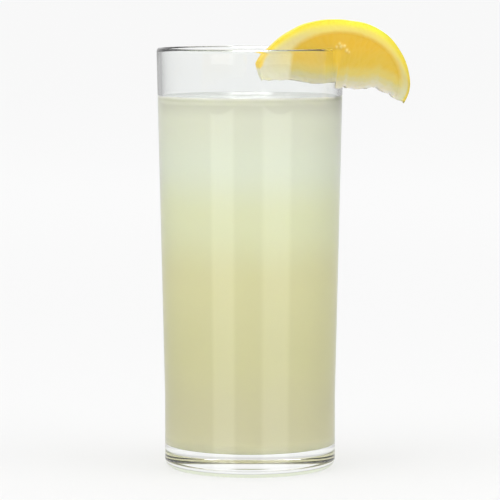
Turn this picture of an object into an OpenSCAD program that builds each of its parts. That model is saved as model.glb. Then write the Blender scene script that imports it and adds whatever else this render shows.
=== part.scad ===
// A tall straight tumbler of cloudy lemonade with half a lemon slice hooked over its lip.
// Millimetres. The origin is on the table at the glass's axis, and +Z is up.

/* [Glass] */
// Height from the table to the top of the lip
glass_h = 150; // [135:1:170]
// Outside diameter at the lip
lip_d = 66.4; // [64:0.1:70]
// Outside diameter of the straight part above the foot
foot_d = 61; // [60:0.1:63]
// Height where the wall stops being straight and starts to open out
flare_z = 26; // [18:1:40]
// Wall thickness at the lip
lip_t = 1.6; // [1.2:0.1:1.8]
// Height of the rounded part of the lip
lip_h = 1.4; // [0.8:0.1:2]
// Wall thickness where it meets the base
low_wall_t = 2.5; // [1.8:0.1:3]
// Thickness of the clear base
base_t = 8.1; // [6:0.1:11]
// Radius of the rounded edge of the foot
foot_round = 3.5; // [2:0.1:4.5]
// Radius of the inside corner between wall and base
corner_round = 4; // [2:0.1:6]
// Depth of the shallow hollow under the foot
hollow_depth = 1.8; // [0.2:0.1:2.5]
// Radius of that hollow, which leaves a flat ring outside it to stand on
hollow_r = 24.5; // [15:0.5:25]

/* [Lemonade] */
// Room left between the level of the liquid and the top of the lip
headroom = 18.1; // [16:0.1:60]
// How far the liquid climbs the wall
climb_h = 1.3; // [0.5:0.1:2]
// Width of the ring of liquid that climbs
climb_w = 1.8; // [0.5:0.1:3]

/* [Lemon] */
// Greatest radius of the lemon, a little beyond the middle towards the stem end
lemon_r = 20.3; // [18:0.1:23]
// Length from the greatest radius to the tip, which is the end inside the glass
tip_len = 33; // [29:0.5:36]
// Length from the greatest radius to the stem end, which hangs outside
stem_len = 22.5; // [20:0.5:26]
// Thickness of the slice, which is cut lengthwise through the core
slice_t = 6; // [4:0.5:8]

/* [Lemon on the glass] */
// Distance from the middle of the slit out to the lemon's greatest radius
slit_to_widest = 3.8; // [0:0.1:6]
// Depth of the lemon's long axis under the top of the lip, at its greatest radius
lemon_drop = 10.5; // [8:0.5:12]
// How far the stem end hangs down, in degrees
lemon_tilt = 9.2; // [5:0.1:14]
// Where the slit meets the wall, in degrees round the glass from +X towards the front
slit_angle = -19.8; // [-30:0.1:0]
// Turn of the slice's face about the upright, in degrees, which brings the tip forward
slice_turn = 6; // [0:1:10]
// Gap left between the slit and the glass on each side
slit_gap = 0.15; // [0.05:0.05:0.4]

/* [Hidden] */
$fn = 96;

fill_z = glass_h - headroom;
lemon_z = glass_h - lemon_drop;
lip_round = lip_t / 2;
lip_z = glass_h - lip_h;
lip_r = lip_d / 2;
foot_r = foot_d / 2;
low_inner_r = foot_r - low_wall_t;
corner_z = base_t + corner_round;
corner_r = low_inner_r - corner_round;
stand_r = foot_r - foot_round;

arc_steps = 8;
hollow_steps = 6;
climb_steps = 5;
body_steps = 16;

// Torn lower edge of the slice, [along the long axis, height above it], from the tip to the slit
// and then, a little lower, from the slit to the stem end.
torn_inside = [[-36, -5], [-27.6, -4.9], [-20.6, -3.6], [-17, -3.5], [-13, -3.7], [-10, -3.3],
    [-7.2, -2.5], [-5, -1.9]];
torn_outside = [[-5, -4.2], [-1.9, -3.8], [-1, -2.7], [0, -3.4], [3, -3.1], [6.5, -2.6], [8.5, -1.8],
    [10.2, -1.3], [11.8, -2.2], [13.4, -2.7], [15.5, -2.8], [16.9, -4.1], [19.1, -4.6], [26, -5.4]];
// Exponents of the two halves of the lemon's outline: a pointed tip and a blunt stem end
tip_shape = [2.5, 1.2];
stem_shape = [2.2, 1.6];
// What the blank reaches past the lemon, above and beyond its ends
margin = 5;
// Height of wall that the slit's ring stands for
slit_ring_h = 20;
slit_mid_r = lip_r - lip_t / 2;

// Points of an arc about a centre, from one angle to another
function arc(centre, r, from, to) =
    [for (i = [0 : arc_steps])
        let (a = from + (to - from) * i / arc_steps)
        centre + r * [cos(a), sin(a)]];

// Value at z on the straight line between two [radius, height] points
function along(low, high, z) = low[0] + (high[0] - low[0]) * (z - low[1]) / (high[1] - low[1]);

// Outside and inside radius of the wall at a height above the foot
function outer_r(z) = along([foot_r, flare_z], [lip_r, lip_z], z);
function inner_r(z) = along([low_inner_r, corner_z], [lip_r - lip_t, lip_z], z);

// Underside of the foot, a shallow dish from the axis out to the flat ring
function foot_hollow() =
    [for (i = [0 : hollow_steps])
        let (s = i / hollow_steps)
        [hollow_r * s, hollow_depth * (1 - s * s)]];

// Rounded lip, half an oval from the outside over to the inside
function lip_edge() =
    [for (i = [0 : arc_steps])
        let (a = 180 * i / arc_steps)
        [lip_r - lip_round + lip_round * cos(a), lip_z + lip_h * sin(a)]];

// Inside corner, from the base out and up to the wall
function inner_corner() = arc([corner_r, corner_z], corner_round, -90, 0);

// Edge of the liquid where it climbs the wall, from the wall in to the level surface
function climbing_edge() =
    let (wall = inner_r(fill_z + climb_h))
    [for (i = [0 : climb_steps])
        let (s = i / climb_steps)
        [wall - climb_w * s, fill_z + climb_h * pow(1 - s, 2)]];

// Radius of the lemon at a distance along its long axis, from one half's length and shape
function half_outline(q, shape) = lemon_r * pow(max(0, 1 - pow(q, shape[0])), 1 / shape[1]);
function lemon_outline() = concat(
    [for (i = [0 : body_steps])
        let (q = cos(90 * i / body_steps))
        [half_outline(q, tip_shape), -tip_len * q]],
    [for (i = [1 : body_steps])
        let (q = sin(90 * i / body_steps))
        [half_outline(q, stem_shape), stem_len * q]]);

module glass() {
    color([0.86, 0.9, 0.88, 0.35])
        rotate_extrude()
            polygon(concat(
                foot_hollow(),
                arc([stand_r, foot_round], foot_round, -90, 0),
                [[foot_r, flare_z]],
                lip_edge(),
                [for (i = [arc_steps : -1 : 0]) inner_corner()[i]],
                [[0, base_t]]));
}

module lemonade() {
    color([0.84, 0.83, 0.66])
        rotate_extrude()
            polygon(concat(
                [[0, base_t]],
                inner_corner(),
                climbing_edge(),
                [[0, fill_z]]));
}

// Whole lemon lying along +X, tip towards -X
module lemon_body() {
    rotate([0, 90, 0])
        rotate_extrude()
            polygon(lemon_outline());
}

// What is kept of the lemon: a slab through the core, above the torn edge
module slice_blank() {
    rotate([90, 0, 0])
        linear_extrude(slice_t, center = true)
            polygon(concat(
                torn_inside,
                torn_outside,
                [[stem_len + margin, lemon_r + margin], [-tip_len - margin, lemon_r + margin]]));
}

// The wall of the glass with the slit's gap on each side, up to the top of the lip
module slit_ring() {
    low_z = glass_h - slit_ring_h;
    rotate_extrude()
        polygon([
            [inner_r(low_z) - slit_gap, low_z],
            [outer_r(low_z) + slit_gap, low_z],
            [outer_r(glass_h) + slit_gap, glass_h],
            [inner_r(glass_h) - slit_gap, glass_h]]);
}

module lemon_slice() {
    color([0.96, 0.8, 0.26])
        difference() {
            translate([slit_mid_r * cos(slit_angle), slit_mid_r * sin(slit_angle), lemon_z])
                rotate([0, 0, slice_turn])
                    translate([slit_to_widest, 0, 0])
                        rotate([0, lemon_tilt, 0])
                            intersection() {
                                lemon_body();
                                slice_blank();
                            }
            slit_ring();
        }
}

glass();
lemonade();
lemon_slice();
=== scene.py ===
import math

import bmesh
import bpy
import numpy as np
from mathutils import Matrix, Vector, noise


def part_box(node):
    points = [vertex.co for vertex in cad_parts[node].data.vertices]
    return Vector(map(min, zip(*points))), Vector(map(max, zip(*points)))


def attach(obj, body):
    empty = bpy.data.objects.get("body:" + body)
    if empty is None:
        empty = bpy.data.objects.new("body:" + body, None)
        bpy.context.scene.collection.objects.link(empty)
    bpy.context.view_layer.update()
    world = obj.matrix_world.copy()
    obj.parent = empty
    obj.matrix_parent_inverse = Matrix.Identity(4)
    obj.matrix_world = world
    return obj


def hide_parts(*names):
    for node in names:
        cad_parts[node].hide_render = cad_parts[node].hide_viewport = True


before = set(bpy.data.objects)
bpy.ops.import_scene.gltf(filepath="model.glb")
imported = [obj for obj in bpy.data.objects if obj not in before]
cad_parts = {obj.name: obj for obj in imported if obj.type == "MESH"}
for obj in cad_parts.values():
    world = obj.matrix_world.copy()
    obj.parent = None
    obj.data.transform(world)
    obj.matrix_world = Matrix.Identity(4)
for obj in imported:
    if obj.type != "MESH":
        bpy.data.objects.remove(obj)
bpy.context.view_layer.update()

# ---------------------------------------------------------------------------------------------
# Sizes, in metres. The glass and the lemon repeat the CAD's driving dimensions.
# ---------------------------------------------------------------------------------------------
MM = 0.001
glass_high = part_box("glass")[1]
drink_low, drink_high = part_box("lemonade")

GLASS_H = glass_high.z
LIP_R = glass_high.x
FOOT_R = 30.5 * MM
FLARE_Z = 26 * MM
LIP_T = 1.6 * MM
LIP_H = 1.4 * MM
LOW_WALL_T = 2.5 * MM
BASE_T = drink_low.z
FOOT_ROUND = 3.5 * MM
CORNER_ROUND = 4 * MM
HOLLOW_DEPTH = 1.8 * MM
HOLLOW_R = 24.5 * MM

CLIMB_H = 1.3 * MM
CLIMB_W = 1.8 * MM
FILL_Z = drink_high.z - CLIMB_H
INTO_WALL = 0.08 * MM

LEMON_R = 20.3 * MM
TIP_LEN = 33 * MM
STEM_LEN = 22.5 * MM
SLICE_T = 6 * MM
SLIT_TO_WIDEST = 3.8 * MM
LEMON_Z = GLASS_H - 10.5 * MM
LEMON_TILT = math.radians(9.2)
SLIT_ANGLE = math.radians(-19.8)
SLICE_TURN = math.radians(6)
SLIT_GAP = 0.15 * MM
# Height of wall that the slit's ring stands for
SLIT_RING_H = 20 * MM

LIP_ROUND = LIP_T / 2
LIP_Z = GLASS_H - LIP_H
LOW_INNER_R = FOOT_R - LOW_WALL_T
CORNER_Z = BASE_T + CORNER_ROUND
BASE_R = LOW_INNER_R - CORNER_ROUND

# Faces round a turned piece, and steps along each part of its outline
LATHE_STEPS = 256
HOLLOW_STEPS = 12
ROUND_STEPS = 16
FLARE_STEPS = 4
WALL_STEPS = 24
LIP_STEPS = 20
BASE_STEPS = 8
DRINK_STEPS = 40
CLIMB_STEPS = 16
LEVEL_STEPS = 12
# Nearer to the axis than this, a point lies on it
ON_AXIS = 0.0001 * MM


# ---------------------------------------------------------------------------------------------
# Shader maths
# ---------------------------------------------------------------------------------------------
class Num:
    """A number on a socket. Arithmetic on it adds Math nodes."""

    def __init__(self, tree, socket):
        self.tree = tree
        self.socket = socket

    def math(self, operation, *values):
        node = self.tree.nodes.new("ShaderNodeMath")
        node.operation = operation
        for slot, value in zip(node.inputs, values):
            plug(self.tree, slot, value)
        return Num(self.tree, node.outputs[0])

    def __add__(self, other):
        return self.math("ADD", self, other)

    def __radd__(self, other):
        return self.math("ADD", other, self)

    def __sub__(self, other):
        return self.math("SUBTRACT", self, other)

    def __rsub__(self, other):
        return self.math("SUBTRACT", other, self)

    def __mul__(self, other):
        return self.math("MULTIPLY", self, other)

    def __truediv__(self, other):
        return self.math("DIVIDE", self, other)

    def step(self, low, high):
        """0 below low and 1 above high, with a smooth rise between."""
        node = self.tree.nodes.new("ShaderNodeMapRange")
        node.interpolation_type = "SMOOTHSTEP"
        for slot, value in zip(node.inputs, (self, low, high, 0.0, 1.0)):
            plug(self.tree, slot, value)
        return Num(self.tree, node.outputs[0])


def plug(tree, slot, value):
    """Links a socket, or sets a plain value."""
    if isinstance(value, Num):
        value = value.socket
    if isinstance(value, bpy.types.NodeSocket):
        tree.links.new(value, slot)
    else:
        slot.default_value = value


class Finish:
    """A node tree being built, for a material, a light or the world."""

    def __init__(self, tree):
        self.tree = tree
        tree.nodes.clear()

    def add(self, kind, values=None, **settings):
        """Adds a node: its type, the values of its sockets, and its settings, which are set first."""
        node = self.tree.nodes.new("ShaderNode" + kind)
        for name, value in settings.items():
            setattr(node, name, value)
        for name, value in (values or {}).items():
            plug(self.tree, node.inputs[name], value)
        return node

    def number(self, node, output=0):
        return Num(self.tree, node.outputs[output])

    def place(self):
        """Position in the piece's own frame, in metres."""
        return self.add("TexCoord").outputs["Object"]

    def coordinate(self, vector, axis):
        return self.number(self.add("SeparateXYZ", {0: vector}), axis)

    def length(self, vector):
        return self.number(self.add("VectorMath", {0: vector}, operation="LENGTH"), "Value")

    def stretched(self, where, scale):
        return self.add("VectorMath", {0: where, 1: scale}, operation="MULTIPLY").outputs[0]

    def cloud(self, where, scale, detail):
        """Smooth noise, about 0 to 1."""
        return self.number(self.add("TexNoise", {"Vector": where, "Scale": scale, "Detail": detail}))

    def cells(self, where, scale):
        """Distance from the middle of the nearest cell, in cell sizes."""
        return self.number(self.add("TexVoronoi", {"Vector": where, "Scale": scale}), "Distance")

    def ramp(self, factor, stops):
        """A colour for each number from 0 to 1, eased between (place, colour) stops."""
        node = self.add("ValToRGB", {"Fac": factor})
        elements = node.color_ramp.elements
        while len(elements) < len(stops):
            elements.new(0.5)
        for element, (place, colour) in zip(elements, stops):
            element.position = place
            element.color = colour
        node.color_ramp.interpolation = "EASE"
        return node.outputs[0]

    def blend(self, factor, first, second):
        return self.add("Mix", {0: factor, 6: first, 7: second}, data_type="RGBA").outputs[2]

    def held(self, name):
        """A number kept on the mesh's points."""
        return self.number(self.add("Attribute", attribute_name=name), "Fac")

    def relief(self, height, distance, strength):
        values = {"Height": height, "Distance": distance, "Strength": strength}
        return self.add("Bump", values).outputs[0]

    def surface(self, shader, kind="Material"):
        """Ends the tree at its output, for a material, a light or the world."""
        self.add("Output" + kind, {"Surface": shader.outputs[0]})


def material(name):
    made = bpy.data.materials.new(name)
    made.use_nodes = True
    return made, Finish(made.node_tree)


def rgb(r, g, b):
    """A display colour, 0 to 255, as a linear one."""
    shares = (r / 255, g / 255, b / 255)
    linear = [c / 12.92 if c <= 0.04045 else ((c + 0.055) / 1.055) ** 2.4 for c in shares]
    return (*linear, 1.0)


def grey(level):
    """A linear grey."""
    return (level, level, level, 1.0)


# ---------------------------------------------------------------------------------------------
# Finishes
# ---------------------------------------------------------------------------------------------
GLASS_TINT = (0.985, 0.995, 0.988, 1.0)
SHADOW_TINT = (0.93, 0.94, 0.93, 1.0)
# Light that the middle of the drink's underside gives off: a painted glow
PAINTED_BASE_GLOW = (0.56, 0.58, 0.56, 1.0)
# Olive of the drink's underside, darkened as painted shade
UNDERSIDE_PAINTED_SHADE = rgb(160, 167, 112)
CORNER_PALE = rgb(242, 240, 205)
# A painted shade line at the foot of the meniscus
LEVEL_SHADE_LINE = rgb(120, 130, 70)
# White laid on the meniscus as a painted highlight
CLIMB_PAINTED_HIGHLIGHT = rgb(236, 236, 232)
LEVEL_REFLECTION_LOW = rgb(190, 193, 180)
LEVEL_REFLECTION_HIGH = rgb(197, 199, 198)
# Gold that lifts the flesh inside the glass: painted light
FLESH_PAINTED_LIGHT = rgb(250, 208, 50)
# Pale laid on the torn sacs as a painted highlight
PULP_PAINTED_HIGHLIGHT = rgb(248, 232, 160)
SAC_EDGE = rgb(226, 196, 100)
LOW_PITH_STEM = rgb(204, 204, 166)
LOW_PITH_TIP = rgb(222, 218, 190)
PITH_YELLOW = rgb(240, 228, 92)
PORE = rgb(238, 196, 40)

# Colours by height, from the base to the level. The lower stops are lifted against the shade near the
# base, which is painted light, and the last stop darkens towards the level as painted shade.
LEMONADE = [
    (0.0, rgb(214, 210, 174)),
    (0.1, rgb(211, 207, 169)),
    (0.28, rgb(214, 211, 166)),
    (0.48, rgb(218, 215, 170)),
    (0.66, rgb(222, 224, 189)),
    (0.82, rgb(223, 227, 208)),
    (0.94, rgb(220, 222, 203)),
    (1.0, rgb(200, 200, 182)),
]
# Colours of the juicy part, from the torn core outwards
FLESH = [
    (0.0, rgb(210, 207, 196)),
    (0.1, rgb(204, 199, 169)),
    (0.2, rgb(202, 194, 142)),
    (0.34, rgb(210, 191, 102)),
    (0.55, rgb(215, 181, 62)),
    (1.0, rgb(224, 181, 50)),
]
# Colours of the pith and the zest, from the stem end to the tip. Both are darker at the stem end, which
# is painted shade.
PITH = [
    (0.0, rgb(203, 192, 128)),
    (0.22, rgb(229, 208, 108)),
    (0.6, rgb(231, 213, 112)),
    (0.8, rgb(222, 207, 140)),
    (1.0, rgb(214, 208, 175)),
]
ZEST = [
    (0.0, rgb(206, 186, 78)),
    (0.1, rgb(224, 206, 60)),
    (0.3, rgb(240, 238, 66)),
    (0.8, rgb(242, 224, 62)),
    (1.0, rgb(238, 204, 70)),
]
# Distance from the torn core at which the flesh has its last colour, in mm
FLESH_REACH = 16.0


def clear_glass():
    """Soda glass: faintly green, with the slight waves of a drawn wall. Shadows let light through."""
    made, f = material("clear_glass")
    waves = f.cloud(f.stretched(f.place(), (60.0, 60.0, 14.0)), scale=1.0, detail=1.0)
    glass = f.add("BsdfPrincipled", {
        "Base Color": GLASS_TINT, "Roughness": 0.0, "IOR": 1.5, "Transmission Weight": 1.0,
        "Normal": f.relief(waves, distance=0.04 * MM, strength=0.6)})
    clear = f.add("BsdfTransparent", {"Color": SHADOW_TINT})
    shadow = f.add("LightPath").outputs["Is Shadow Ray"]
    f.surface(f.add("MixShader", {0: shadow, 1: glass.outputs[0], 2: clear.outputs[0]}))
    return made


def lemonade_colour(f, where):
    """Cloudy juice: whiter at the top and yellower towards the bottom, with a slight drift."""
    height = f.coordinate(where, "Z")
    drift = f.cloud(f.stretched(where, (22.0, 22.0, 9.0)), scale=1.0, detail=3.0)
    level = (height - BASE_T) / (FILL_Z - BASE_T) + (drift - 0.5) * 0.05
    return f.ramp(level, LEMONADE)


def lemonade_side():
    """The drink against the glass. It has no gloss of its own, because the glass lies on it. Its colour
    carries painted light: a dark line and a whitened climb at the meniscus, a darkened underside and a
    glow under its middle.
    """
    made, f = material("lemonade_side")
    where = f.place()
    height = f.coordinate(where, "Z")
    above_base = height - BASE_T
    climb = (height - FILL_Z) / CLIMB_H
    line = climb.step(-0.4, 0.0) * (1 - climb.step(0.0, 0.5))
    corner = 1 - above_base.step(0.5 * MM, 4.5 * MM)
    painted_underside = 1 - above_base.step(0.0, 0.3 * MM)
    radius = f.length(f.stretched(where, (1.0, 1.0, 0.0)))
    # Painted glow: the middle of the underside gives off light of its own, in place of light coming up
    # through the base
    painted_glow = painted_underside * (1 - radius.step(18 * MM, 26 * MM))
    body = lemonade_colour(f, where)
    # Painted shade: a thin dark line where the meniscus starts to climb the wall
    body = f.blend(line * 0.1, body, LEVEL_SHADE_LINE)
    # Painted highlight: the meniscus climbing the wall is whitened, in place of its reflection
    body = f.blend(climb.step(0.2, 1.0) * 0.5, body, CLIMB_PAINTED_HIGHLIGHT)
    body = f.blend(corner * 0.7, body, CORNER_PALE)
    # Painted shade: the underside is darkened to olive, as if unlit
    body = f.blend(painted_underside, body, UNDERSIDE_PAINTED_SHADE)
    f.surface(f.add("BsdfPrincipled", {
        "Base Color": body, "Roughness": 0.9, "Specular IOR Level": 0.0,
        "Subsurface Weight": 0.2, "Subsurface Radius": (0.9, 1.0, 0.6), "Subsurface Scale": 3 * MM,
        "Emission Color": f.blend(painted_glow, grey(0.0), PAINTED_BASE_GLOW), "Emission Strength": 1.0}))
    return made


def lemonade_top():
    """The open surface, wet and level. Its greys are partly the drink's colour and partly painted
    reflection of the room, more neutral on the meniscus.
    """
    made, f = material("lemonade_top")
    where = f.place()
    raised = (f.coordinate(where, "Z") - FILL_Z).step(-0.1 * MM, 0.1 * MM)
    ripple = f.cloud(where, scale=90.0, detail=1.0)
    f.surface(f.add("BsdfPrincipled", {
        "Base Color": f.blend(raised, LEVEL_REFLECTION_LOW, LEVEL_REFLECTION_HIGH), "Roughness": 0.03, "IOR": 1.33,
        "Normal": f.relief(ripple, distance=0.01 * MM, strength=0.3)}))
    return made


def lemon():
    """The whole slice: zest, pith, juicy flesh and the pale torn core, by depth from each edge. It
    carries painted light: a lift on the flesh inside the glass, highlights on the torn sacs and shade
    at the stem end.

    under_zest, into_flesh and above_tear are in mm, and the other held numbers run from 0 to 1.
    """
    made, f = material("lemon_slice")
    where = f.place()
    under_zest = f.held("under_zest")
    into_flesh = f.held("into_flesh")
    above_tear = f.held("above_tear")
    toward_tip = f.held("toward_tip")
    painted_light_in_glass = f.held("painted_light_in_glass")
    mottle = f.cloud(where, scale=420.0, detail=3.0)
    streak = f.cloud(where, scale=900.0, detail=2.0)
    pores = f.cells(where, scale=800.0)

    # Inside the glass the flesh is lifted towards gold, painted light against the light that the glass
    # takes away
    flesh = f.ramp(above_tear / FLESH_REACH + (mottle - 0.5) * 0.12 + painted_light_in_glass * 0.06, FLESH)
    flesh = f.blend(painted_light_in_glass * above_tear.step(3.0, 7.0) * 0.3, flesh, FLESH_PAINTED_LIGHT)
    # The torn sacs beside the slit are paled as a painted highlight, on top of their raised relief
    flesh = f.blend(f.held("pulp_highlight") * 0.7, flesh, PULP_PAINTED_HIGHLIGHT)
    flesh = f.blend(f.held("sac_edge") * 0.12, flesh, SAC_EDGE)

    low_pith = f.blend(toward_tip.step(0.2, 0.7), LOW_PITH_STEM, LOW_PITH_TIP)
    pith = f.blend(above_tear.step(1.0, 8.0), low_pith, f.ramp(toward_tip, PITH))
    outer_pith = 1 - (under_zest + (mottle - 0.5) * 0.6).step(1.6, 4.2)
    pith = f.blend(outer_pith * above_tear.step(6.0, 12.0) * 0.55, pith, PITH_YELLOW)

    zest = f.blend((1 - pores.step(0.1, 0.5)) * 0.25, f.ramp(toward_tip, ZEST), PORE)
    rind = under_zest - (1 - toward_tip.step(0.05, 0.25)) * 0.5
    inner = f.blend((into_flesh + (streak - 0.5) * 0.5).step(-1.1, 0.6), pith, flesh)
    colour = f.blend((rind + (streak - 0.5) * 0.25).step(0.7, 2.7), zest, inner)

    wet = into_flesh.step(-0.2, 0.6) * under_zest.step(1.0, 2.0)
    skin = 1 - under_zest.step(0.05, 0.3)
    dimples = pores.step(0.0, 0.55) * skin + mottle * (1 - skin) * 0.12
    f.surface(f.add("BsdfPrincipled", {
        "Base Color": colour, "Roughness": 0.48 - wet * 0.26, "IOR": 1.4,
        "Subsurface Weight": 0.3, "Subsurface Radius": (1.0, 0.75, 0.2), "Subsurface Scale": 3 * MM,
        "Normal": f.relief(dimples, distance=0.18 * MM, strength=0.8)}))
    return made


# ---------------------------------------------------------------------------------------------
# Turned pieces
# ---------------------------------------------------------------------------------------------
def along(low, high, z):
    """Value at z on the straight line between two (radius, height) points."""
    return low[0] + (high[0] - low[0]) * (z - low[1]) / (high[1] - low[1])


def outer_r(z):
    return along((FOOT_R, FLARE_Z), (LIP_R, LIP_Z), z)


def inner_r(z):
    return along((LOW_INNER_R, CORNER_Z), (LIP_R - LIP_T, LIP_Z), z)


def arc(centre, radius, start, end, steps):
    return [(centre[0] + radius * math.cos(math.radians(start + (end - start) * i / steps)),
             centre[1] + radius * math.sin(math.radians(start + (end - start) * i / steps)))
            for i in range(steps + 1)]


def straight(start, end, steps):
    """Points between two ends, without the ends."""
    return [(start[0] + (end[0] - start[0]) * i / steps, start[1] + (end[1] - start[1]) * i / steps)
            for i in range(1, steps)]


def circle(radius, z, count):
    """Points of a level circle about the axis."""
    return [(radius * math.cos(2 * math.pi * i / count), radius * math.sin(2 * math.pi * i / count), z)
            for i in range(count)]


def smoothed(mesh):
    mesh.polygons.foreach_set("use_smooth", [True] * len(mesh.polygons))
    mesh.update()


def new_object(name, data):
    made = bpy.data.objects.new(name, data)
    bpy.context.scene.collection.objects.link(made)
    return made


def mesh_object(name, points, faces, finishes):
    mesh = bpy.data.meshes.new(name)
    mesh.from_pydata([tuple(p) for p in points], [], faces)
    smoothed(mesh)
    for finish in finishes:
        mesh.materials.append(finish)
    return new_object(name, mesh)


def lathe(name, outline, finishes, finish_of=None):
    """Turns an outline of (radius, height) points about the axis. An end at radius 0 is one point."""
    points, rings = [], []
    for r, z in outline:
        first = len(points)
        if r < ON_AXIS:
            rings.append([first] * LATHE_STEPS)
            points.append((0.0, 0.0, z))
        else:
            rings.append([first + i for i in range(LATHE_STEPS)])
            points += circle(r, z, LATHE_STEPS)
    faces, slots = [], []
    for k in range(len(outline) - 1):
        low, high = rings[k], rings[k + 1]
        for i in range(LATHE_STEPS):
            j = (i + 1) % LATHE_STEPS
            faces.append(list(dict.fromkeys((low[i], low[j], high[j], high[i]))))
            slots.append(finish_of(outline[k], outline[k + 1]) if finish_of else 0)
    made = mesh_object(name, points, faces, finishes)
    made.data.polygons.foreach_set("material_index", slots)
    return made


def make_glass():
    hollow = [(HOLLOW_R * s / HOLLOW_STEPS, HOLLOW_DEPTH * (1 - (s / HOLLOW_STEPS) ** 2))
              for s in range(HOLLOW_STEPS + 1)]
    foot = arc((FOOT_R - FOOT_ROUND, FOOT_ROUND), FOOT_ROUND, -90, 0, ROUND_STEPS)
    low_wall = straight((FOOT_R, FOOT_ROUND), (FOOT_R, FLARE_Z), FLARE_STEPS) + [(FOOT_R, FLARE_Z)]
    outside = straight((FOOT_R, FLARE_Z), (LIP_R, LIP_Z), WALL_STEPS)
    lip = [(LIP_R - LIP_ROUND + LIP_ROUND * math.cos(math.pi * i / LIP_STEPS),
            LIP_Z + LIP_H * math.sin(math.pi * i / LIP_STEPS)) for i in range(LIP_STEPS + 1)]
    inside = straight((LIP_R - LIP_T, LIP_Z), (LOW_INNER_R, CORNER_Z), WALL_STEPS)
    corner = arc((BASE_R, CORNER_Z), CORNER_ROUND, 0, -90, ROUND_STEPS)
    base = straight((BASE_R, BASE_T), (0.0, BASE_T), BASE_STEPS) + [(0.0, BASE_T)]
    outline = hollow + foot + low_wall + outside + lip + inside + corner + base
    made = lathe("tumbler", outline, [clear_glass()])
    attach(made, "root")
    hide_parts("glass")


def make_drink():
    """The drink reaches a hair into the wall and the base, so that no air shows between them."""
    wall_top = FILL_Z + CLIMB_H
    wall_r = inner_r(wall_top) + INTO_WALL
    climb_w = CLIMB_W + INTO_WALL
    floor = [(BASE_R * s / BASE_STEPS, BASE_T - INTO_WALL) for s in range(BASE_STEPS)]
    corner = arc((BASE_R, CORNER_Z), CORNER_ROUND + INTO_WALL, -90, 0, ROUND_STEPS)
    wall = straight(corner[-1], (wall_r, wall_top), DRINK_STEPS)
    climb = [(wall_r - climb_w * s / CLIMB_STEPS, FILL_Z + CLIMB_H * (1 - s / CLIMB_STEPS) ** 2)
             for s in range(CLIMB_STEPS + 1)]
    level = [(climb[-1][0] * (1 - s / LEVEL_STEPS), FILL_Z) for s in range(1, LEVEL_STEPS + 1)]

    def finish_of(first, second):
        return 1 if first[1] >= FILL_Z and second[1] >= FILL_Z else 0

    outline = floor + corner + wall + climb + level
    made = lathe("drink", outline, [lemonade_side(), lemonade_top()], finish_of)
    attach(made, "root")
    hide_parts("lemonade")
    return made


# ---------------------------------------------------------------------------------------------
# Lemon slice
# ---------------------------------------------------------------------------------------------
TORN_INSIDE = [(-36, -5), (-27.6, -4.9), (-20.6, -3.6), (-17, -3.5), (-13, -3.7), (-10, -3.3),
               (-7.2, -2.5), (-4.2, -1.9)]
TORN_OUTSIDE = [(-4.19, -4.2), (-1.9, -3.8), (-1, -2.7), (0, -3.4), (3, -3.1), (6.5, -2.6), (8.5, -1.8),
                (10.2, -1.3), (11.8, -2.2), (13.4, -2.7), (15.5, -2.8), (16.9, -4.1), (19.1, -4.6),
                (26, -5.4)]
TORN = np.array(TORN_INSIDE + TORN_OUTSIDE) * MM
# Torn juice sacs that stand out beside the top of the slit, paled there as a painted highlight, (along
# the axis, height, radius) in mm
PULP = [(-4.3, 10.8, 0.6), (-5.1, 11.6, 0.4), (-3.2, 11.0, 0.45), (-2.2, 9.7, 0.5), (-5.9, 10.3, 0.35),
        (-1.3, 9.2, 0.3)]
COLUMNS = 280
FACE_ROWS = 84
RIM_ROWS = 18
# Where the loft stops short of the lemon's two ends, which are points
END_GAP = 0.01 * MM
# Most of the radius that half the slice's thickness may take, near the ends
WIDEST_SHARE = 0.94
# Nearer than this, two heights are the same
TOUCHING = 0.001 * MM
# Exponents of the two halves of the lemon's outline: a pointed tip and a blunt stem end
TIP_SHAPE = (2.5, 1.2)
STEM_SHAPE = (2.2, 1.6)
# The flesh is a dome with its middle on the axis. In mm: its middle, its half lengths towards the
# tip and the stem end, its height, its depth at the middle, and where it stops short of the tip
FLESH_MIDDLE = -1
FLESH_TIP_HALF = 22
FLESH_STEM_HALF = 19.6
FLESH_H = 15.9
FLESH_DEPTH = 14
FLESH_TIP_END = -20.8
# Thickness of the pored skin
SKIN_T = 0.4 * MM
# Heights of the slice's relief, in mm. The flesh lies below the cut face by SUNK.
SUNK = 0.16
SAC_H = 0.05
PULP_H = 0.5
SPONGE_H = 0.04
TEAR_H = 0.3
TORN_EDGE_H = 0.35
PORE_H = 0.22
SWELL_H = 0.25
# Height over which the torn edge's roughness fades up the face, in mm
TEAR_FADE = 1.6
# Lumps of the relief to a millimetre
SPONGE_SCALE = 0.9
TEAR_SCALE = 0.45
PORE_SCALE = 0.95
SWELL_SCALE = 0.16


def half_outline(q, shape):
    """Radius at a share q of one half's length."""
    return LEMON_R * np.clip(1 - q ** shape[0], 0, 1) ** (1 / shape[1])


def lemon_radius(u):
    """Radius of the lemon at a distance along its axis: a pointed tip and a blunt stem end."""
    u = np.asarray(u, float)
    tip = half_outline(-np.minimum(u, 0) / TIP_LEN, TIP_SHAPE)
    stem = half_outline(np.maximum(u, 0) / STEM_LEN, STEM_SHAPE)
    return np.where(u < 0, tip, stem)


def torn_height(u):
    return np.interp(u, TORN[:, 0], TORN[:, 1])


def flesh_depth(u, v):
    """Distance in from the edge of the flesh, in mm: a dome that stops short of the tip."""
    u, v = u / MM, v / MM
    half = np.where(u < FLESH_MIDDLE, FLESH_TIP_HALF, FLESH_STEM_HALF)
    q = np.sqrt(((u - FLESH_MIDDLE) / half) ** 2 + (np.maximum(v, 0) / FLESH_H) ** 2)
    return np.minimum((1 - q) * FLESH_DEPTH, u - FLESH_TIP_END)


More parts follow.
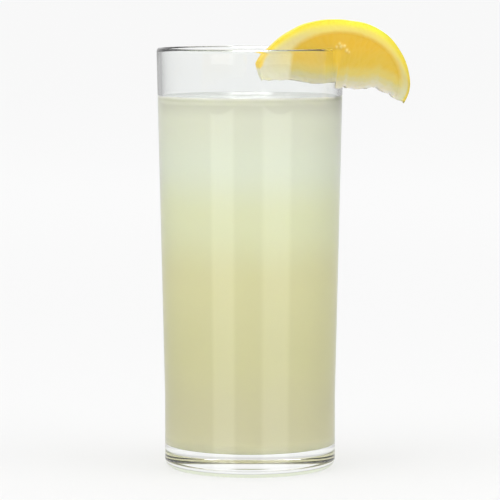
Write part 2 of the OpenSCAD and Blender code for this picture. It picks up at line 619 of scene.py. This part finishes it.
def sac_wall(u, v):
    """Distance from the wall of a juice sac, in cell sizes. Sacs run from the skin to the core."""
    x, y = u / MM + 2, v / MM + 4
    spread = math.atan2(y, x) * 9
    reach = math.hypot(x, y) * 0.2
    near = noise.voronoi(Vector((spread, reach, 0.3)), distance_metric="DISTANCE")[0]
    return near[1] - near[0]


def pulp_at(u, v):
    """How much a torn sac stands out at a place on the face, 0 to 1."""
    return max(math.exp(-((u / MM - x) ** 2 + (v / MM - y) ** 2) / r ** 2) for x, y, r in PULP)


def slice_frame():
    """From the lemon's frame (along its axis, away from the face, up) to the object's."""
    slit_r = LIP_R - LIP_T / 2
    slit = Matrix.Translation((slit_r * math.cos(SLIT_ANGLE), slit_r * math.sin(SLIT_ANGLE), LEMON_Z))
    turned = Matrix.Rotation(SLICE_TURN, 4, "Z")
    shifted = Matrix.Translation((SLIT_TO_WIDEST, 0, 0))
    tilted = Matrix.Rotation(LEMON_TILT, 4, "Y")
    return slit @ turned @ shifted @ tilted


def section(u):
    """Closed loop of a cross-section at u, as (depth, height) points: face, peel, back, torn edge."""
    radius = float(lemon_radius(u))
    half = min(SLICE_T / 2, WIDEST_SHARE * radius)
    top = math.sqrt(radius ** 2 - half ** 2)
    low = max(float(torn_height(u)), -top)
    rows = [low + (top - low) * (1 - math.cos(math.pi * i / FACE_ROWS)) / 2 for i in range(FACE_ROWS)]
    front = [(-half, v) for v in rows]
    swing = math.asin(half / radius)
    turns = [-swing + 2 * swing * i / RIM_ROWS for i in range(RIM_ROWS)]
    peel = [(radius * math.sin(a), radius * math.cos(a)) for a in turns]
    back = [(half, v) for v in reversed(rows[1:] + [top])]
    under = [(half - 2 * half * i / RIM_ROWS, low) for i in range(RIM_ROWS)]
    if low <= -top + TOUCHING:
        under = [(-radius * math.sin(a), -radius * math.cos(a)) for a in turns]
    return front + peel + back + under


def slice_mesh():
    """The slice before it is slit: a loft of its cross-sections along the lemon's axis."""
    middle = (STEM_LEN - TIP_LEN) / 2
    reach = (STEM_LEN + TIP_LEN - 2 * END_GAP) / 2
    us = [middle - reach * math.cos(math.pi * i / COLUMNS) for i in range(COLUMNS + 1)]
    loops = [section(u) for u in us]
    count = len(loops[0])
    points = [(u, w, v) for u, loop in zip(us, loops) for w, v in loop]
    faces = []
    for k in range(COLUMNS):
        for i in range(count):
            j = (i + 1) % count
            faces.append((k * count + i, k * count + j, (k + 1) * count + j, (k + 1) * count + i))
    last = COLUMNS * count
    faces.append(tuple(range(count)))
    faces.append(tuple(last + i for i in reversed(range(count))))
    return points, faces


def within(value):
    return min(1.0, max(0.0, value))


def lumps(p):
    """Fractal noise in three octaves, about -1 to 1."""
    return noise.fractal(p, 1.0, 2.0, 3)


def slice_relief(point):
    """How far a point moves out of the plain slice: sacs, spongy pith, pores and the torn edge."""
    u, w, v = point
    radius = float(lemon_radius(u))
    ring = math.hypot(v, w)
    skin = radius - ring
    above = (v - float(torn_height(u))) / MM
    p = Vector((u, w, v)) / MM
    torn = lumps(p * TEAR_SCALE)
    face = within((abs(w) - 0.4 * SLICE_T) / (0.1 * SLICE_T))
    move = Vector((0, 0, 0))
    if skin > SKIN_T and face > 0:
        inside = within((float(flesh_depth(u, v)) + 0.2) / 0.8)
        bulge = (min(1.0, sac_wall(u, v) * 2.4) - 0.7) * SAC_H * inside
        sponge = lumps(p * SPONGE_SCALE) * SPONGE_H * (1 - inside)
        tear = torn * TEAR_H * math.exp(-max(0.0, above) / TEAR_FADE)
        out = bulge - SUNK * inside + sponge + tear + pulp_at(u, v) * PULP_H
        move.y += math.copysign(1, w) * out * face
    if skin < SKIN_T and ring > 0:
        pore = min(0.0, noise.voronoi(p * PORE_SCALE)[0][0] - 0.32) * PORE_H
        swell = noise.noise(p * SWELL_SCALE) * SWELL_H
        move.y += (pore + swell) * w / ring
        move.z += (pore + swell) * v / ring
    if above < 0.05 and skin > SKIN_T:
        move.z += torn * TORN_EDGE_H
    return move * MM


def wall_ring(frame_inverse):
    """The wall of the glass with the slit's gap, in the lemon's frame."""
    low = GLASS_H - SLIT_RING_H
    outline = [(inner_r(low) - SLIT_GAP, low), (outer_r(low) + SLIT_GAP, low),
               (outer_r(GLASS_H) + SLIT_GAP, GLASS_H), (inner_r(GLASS_H) - SLIT_GAP, GLASS_H)]
    points, faces = [], []
    for i in range(LATHE_STEPS):
        a = 2 * math.pi * i / LATHE_STEPS
        points += [frame_inverse @ Vector((r * math.cos(a), r * math.sin(a), z)) for r, z in outline]
    for i in range(LATHE_STEPS):
        j = (i + 1) % LATHE_STEPS
        faces += [(4 * i + k, 4 * j + k, 4 * j + (k + 1) % 4, 4 * i + (k + 1) % 4) for k in range(4)]
    return mesh_object("slit_ring", points, faces, [])


def slit(piece, ring):
    """Cuts the slit for the wall, leaves the result on the mesh and turns its faces outward."""
    cut = piece.modifiers.new("slit", "BOOLEAN")
    cut.operation = "DIFFERENCE"
    cut.solver = "EXACT"
    cut.object = ring
    graph = bpy.context.evaluated_depsgraph_get()
    done = bpy.data.meshes.new_from_object(piece.evaluated_get(graph))
    piece.modifiers.clear()
    shape = bmesh.new()
    shape.from_mesh(done)
    bmesh.ops.recalc_face_normals(shape, faces=shape.faces)
    shape.to_mesh(done)
    shape.free()
    piece.data = done
    bpy.data.objects.remove(ring)


def hold(mesh, name, values):
    """Keeps a number on each of the mesh's points, for its finish to read."""
    kept = mesh.attributes.new(name, "FLOAT", "POINT")
    kept.data.foreach_set("value", np.asarray(values, np.float32))


def make_slice():
    points, faces = slice_mesh()
    shaped = [Vector(p) + slice_relief(p) for p in points]
    made = mesh_object("lemon_half_slice", shaped, faces, [lemon()])
    place = slice_frame()
    slit(made, wall_ring(place.inverted()))
    made.matrix_world = place
    mesh = made.data
    flat = np.empty(len(mesh.vertices) * 3)
    mesh.vertices.foreach_get("co", flat)
    u, w, v = flat.reshape(-1, 3).T
    # On the tip's side the zest ends a little below the axis
    trimmed = np.where(u < 0, np.maximum(0, -v / MM - 0.3) * 1.5, 0)
    above_table = LEMON_Z - u * math.sin(LEMON_TILT) + v * math.cos(LEMON_TILT)
    below_lip = np.clip((GLASS_H - above_table) / MM, 0, 1)
    past_slit = np.clip(-u / MM - 3.5, 0, 1)
    hold(mesh, "under_zest", (lemon_radius(u) - np.hypot(v, w)) / MM + trimmed)
    hold(mesh, "into_flesh", flesh_depth(u, v))
    hold(mesh, "above_tear", (v - torn_height(u)) / MM)
    hold(mesh, "toward_tip", (STEM_LEN - u) / (STEM_LEN + TIP_LEN))
    # Where the slice lies inside the glass, for the painted light on its flesh
    hold(mesh, "painted_light_in_glass", below_lip * past_slit)
    hold(mesh, "pulp_highlight", [pulp_at(a, b) for a, b in zip(u, v)])
    hold(mesh, "sac_edge", [1 - min(1.0, sac_wall(a, b) * 3) for a, b in zip(u, v)])
    smoothed(mesh)
    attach(made, "root")
    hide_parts("lemon_slice")


# ---------------------------------------------------------------------------------------------
# Floor, light and camera
# ---------------------------------------------------------------------------------------------
FLOOR_R = 30.0
FLOOR_SIDES = 96
CAMERA_DISTANCE = 1.1387
CAMERA_PITCH = math.radians(4.9)
CAMERA_FIELD = math.radians(8.97)
SENSOR_W = 36.0
AIM_Z = 0.5193 * GLASS_H
# Share of a softbox's width over which its brightness rises and falls
SOFT_EDGE = 0.2
# Grey of the floor and the light it gives off, which rises far off. Then what the glass mirrors:
# its grey, and how much less light
FLOOR_GREY = 0.34
FLOOR_LIFT = 0.52
FAR_RISE = 0.06
MIRRORED_GREY = 0.12
MIRRORED_DIM = 0.24
# Brightness of the room at the horizon, its dip above that and its rise overhead
ROOM = 0.93
ROOM_DIP = 0.23
ROOM_RISE = 0.48
# Brightness of what the glass mirrors low down, its rise above that, and its dip inside the glass
SEEN = 0.72
SEEN_RISE = 0.23
SEEN_DIP = 0.3


def seen_in_gloss(f):
    """1 for what a gloss mirrors, and 0 for what is seen straight or only lights a piece."""
    path = f.add("LightPath")
    mirrored = f.number(path, "Glossy Depth").step(0.2, 0.8)
    return mirrored * (1 - f.number(path, "Diffuse Depth").step(0.2, 0.8))


def make_floor():
    """A pale floor, a little brighter far off, and darker where the glass mirrors it."""
    made, f = material("pale_floor")
    far = f.length(f.add("NewGeometry").outputs["Position"]).step(0.2, 1.6)
    mirrored = seen_in_gloss(f)
    paint = f.add("BsdfDiffuse", {"Color": f.blend(mirrored, grey(FLOOR_GREY), grey(MIRRORED_GREY))})
    lift = f.add("Emission", {"Strength": FLOOR_LIFT + far * FAR_RISE - mirrored * MIRRORED_DIM})
    f.surface(f.add("AddShader", {0: paint.outputs[0], 1: lift.outputs[0]}))
    points = [(0, 0, 0)] + circle(FLOOR_R, 0, FLOOR_SIDES)
    faces = [(0, 1 + i, 1 + (i + 1) % FLOOR_SIDES) for i in range(FLOOR_SIDES)]
    floor = mesh_object("studio_floor", points, faces, [made])
    floor.visible_glossy = False


def make_world():
    """A pale room, brighter overhead, and dimmer low down where the walls of the glass mirror it."""
    world = bpy.data.worlds.new("studio")
    bpy.context.scene.world = world
    world.use_nodes = True
    f = Finish(world.node_tree)
    up = f.coordinate(f.add("TexCoord").outputs["Generated"], "Z")
    mirrored = seen_in_gloss(f)
    inside = f.number(f.add("LightPath"), "Transmission Depth").step(0.2, 0.8)
    high = up.step(0.028, 0.036)
    seen = SEEN + high * SEEN_RISE - inside * (1 - high) * SEEN_DIP
    room = ROOM - up.step(0.1, 0.2) * ROOM_DIP + up.step(0.25, 0.75) * ROOM_RISE
    strength = room + mirrored * (seen - room)
    f.surface(f.add("Background", {"Color": grey(1.0), "Strength": strength}), "World")


def make_lamp(name, place, aim, width, height, radiance):
    """A rectangular light aimed at a point. Its radiance doesn't depend on its size."""
    lamp = bpy.data.lights.new(name, "AREA")
    lamp.shape = "RECTANGLE"
    lamp.size = width
    lamp.size_y = height
    lamp.energy = radiance * math.pi * width * height
    made = new_object(name, lamp)
    made.location = place
    made.rotation_euler = (Vector(aim) - made.location).to_track_quat("-Z", "Y").to_euler()
    made.visible_camera = False
    return made


def make_softbox(name, azimuth, width, height, distance, centre_z, radiance):
    """A soft light at an azimuth from the front, its brightness fading at its upright edges."""
    a = math.radians(azimuth)
    place = (distance * math.sin(a), -distance * math.cos(a), centre_z)
    made = make_lamp(name, place, (0, 0, min(centre_z, GLASS_H)), width, height, radiance)
    made.visible_diffuse = False
    made.data.use_nodes = True
    f = Finish(made.data.node_tree)
    across = f.coordinate(f.add("NewGeometry").outputs["Parametric"], "X")
    soft = across.step(0.0, SOFT_EDGE) * (1 - across.step(1 - SOFT_EDGE, 1.0))
    f.surface(f.add("Emission", {"Strength": soft}), "Light")
    return made


def make_fill(name, place, size, radiance):
    """A soft light that shapes the pieces and leaves no reflection of its own."""
    made = make_lamp(name, place, (0, 0, 0), size, size, radiance)
    made.visible_glossy = False
    made.visible_transmission = False
    return made


def light_only(lamp, piece):
    """Keeps a lamp's light on one piece, off the floor and the rest."""
    lit = bpy.data.collections.new(lamp.name + "_lights")
    lit.objects.link(piece)
    lamp.light_linking.receiver_collection = lit


def make_lights(drink):
    make_softbox("left_softbox", azimuth=-35, width=0.62, height=1.2, distance=0.95, centre_z=-0.55,
                 radiance=1.35)
    make_softbox("right_softbox", azimuth=34, width=0.78, height=1.2, distance=0.95, centre_z=-0.55,
                 radiance=1.35)
    make_softbox("top_softbox", azimuth=0, width=1.1, height=0.7, distance=0.75, centre_z=1.15,
                 radiance=8.2)
    overhead = make_softbox("overhead_softbox", azimuth=0, width=0.8, height=0.7, distance=0.28,
                            centre_z=1.25, radiance=20.0)
    overhead.visible_transmission = False
    make_fill("key_light", (-0.9, -0.5, 1.3), size=1.2, radiance=1.4)
    make_fill("fill_light", (1.2, -0.5, 0.7), size=1.2, radiance=1.5)
    light_only(make_fill("back_light", (0.0, 1.1, 0.45), size=0.8, radiance=5.0), drink)


def make_camera():
    camera = bpy.data.cameras.new("camera")
    camera.sensor_width = SENSOR_W
    camera.lens = SENSOR_W / 2 / math.tan(CAMERA_FIELD / 2)
    camera.clip_start = 0.01
    camera.clip_end = 200
    made = new_object("camera", camera)
    back = Vector((0, -math.cos(CAMERA_PITCH), math.sin(CAMERA_PITCH)))
    made.location = Vector((0, 0, AIM_Z)) + back * CAMERA_DISTANCE
    made.rotation_euler = (-back).to_track_quat("-Z", "Y").to_euler()
    bpy.context.scene.camera = made


make_camera()
make_floor()
make_world()
make_glass()
make_lights(make_drink())
make_slice()
bpy.context.scene.view_settings.view_transform = "Standard"
